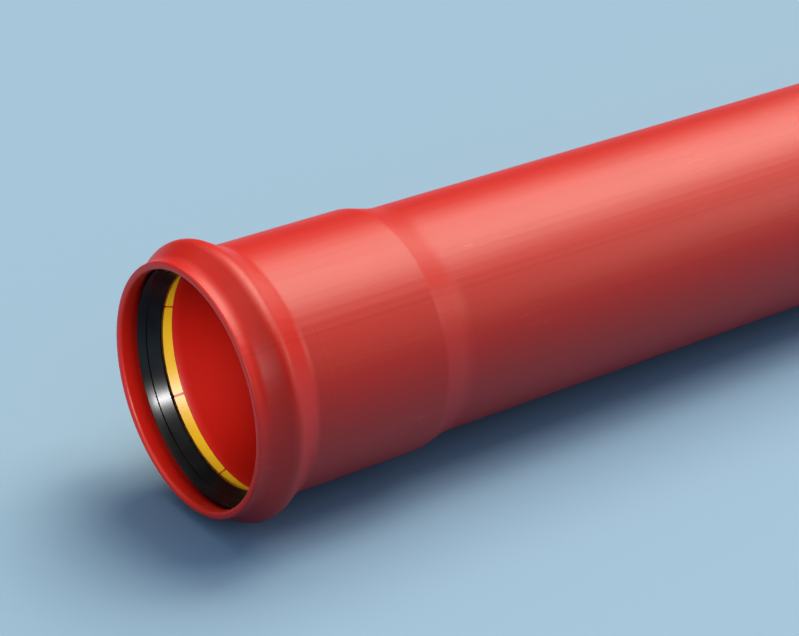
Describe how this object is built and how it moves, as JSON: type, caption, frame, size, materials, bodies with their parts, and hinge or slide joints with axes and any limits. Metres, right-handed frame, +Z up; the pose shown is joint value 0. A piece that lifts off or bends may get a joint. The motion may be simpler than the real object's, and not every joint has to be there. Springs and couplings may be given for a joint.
{
  "type": "cable conduit",
  "caption": "Straight plastic cable conduit with a plain tapered end and a push-fit socket whose bead holds a rubber lip seal and a slotted retaining ring.",
  "frame": {"origin": "on the floor, under the middle of the conduit's length", "axes": "+X along the conduit from the socket's mouth to the plain end, +Z up; the axis slopes down 0.57 degrees towards the plain end, because the conduit lies on its bead and its plain end"},
  "size_m": [1.1034, 0.1314, 0.1316],
  "materials": {
    "red_pvc": "satin, extruded",
    "black_rubber": "satin, moulded",
    "yellow_pp": "satin, moulded"
  },
  "bodies": {
    "root": {"conduit": "red_pvc", "seal_ring": "black_rubber", "retaining_ring": "yellow_pp"}
  },
  "joints": []
}
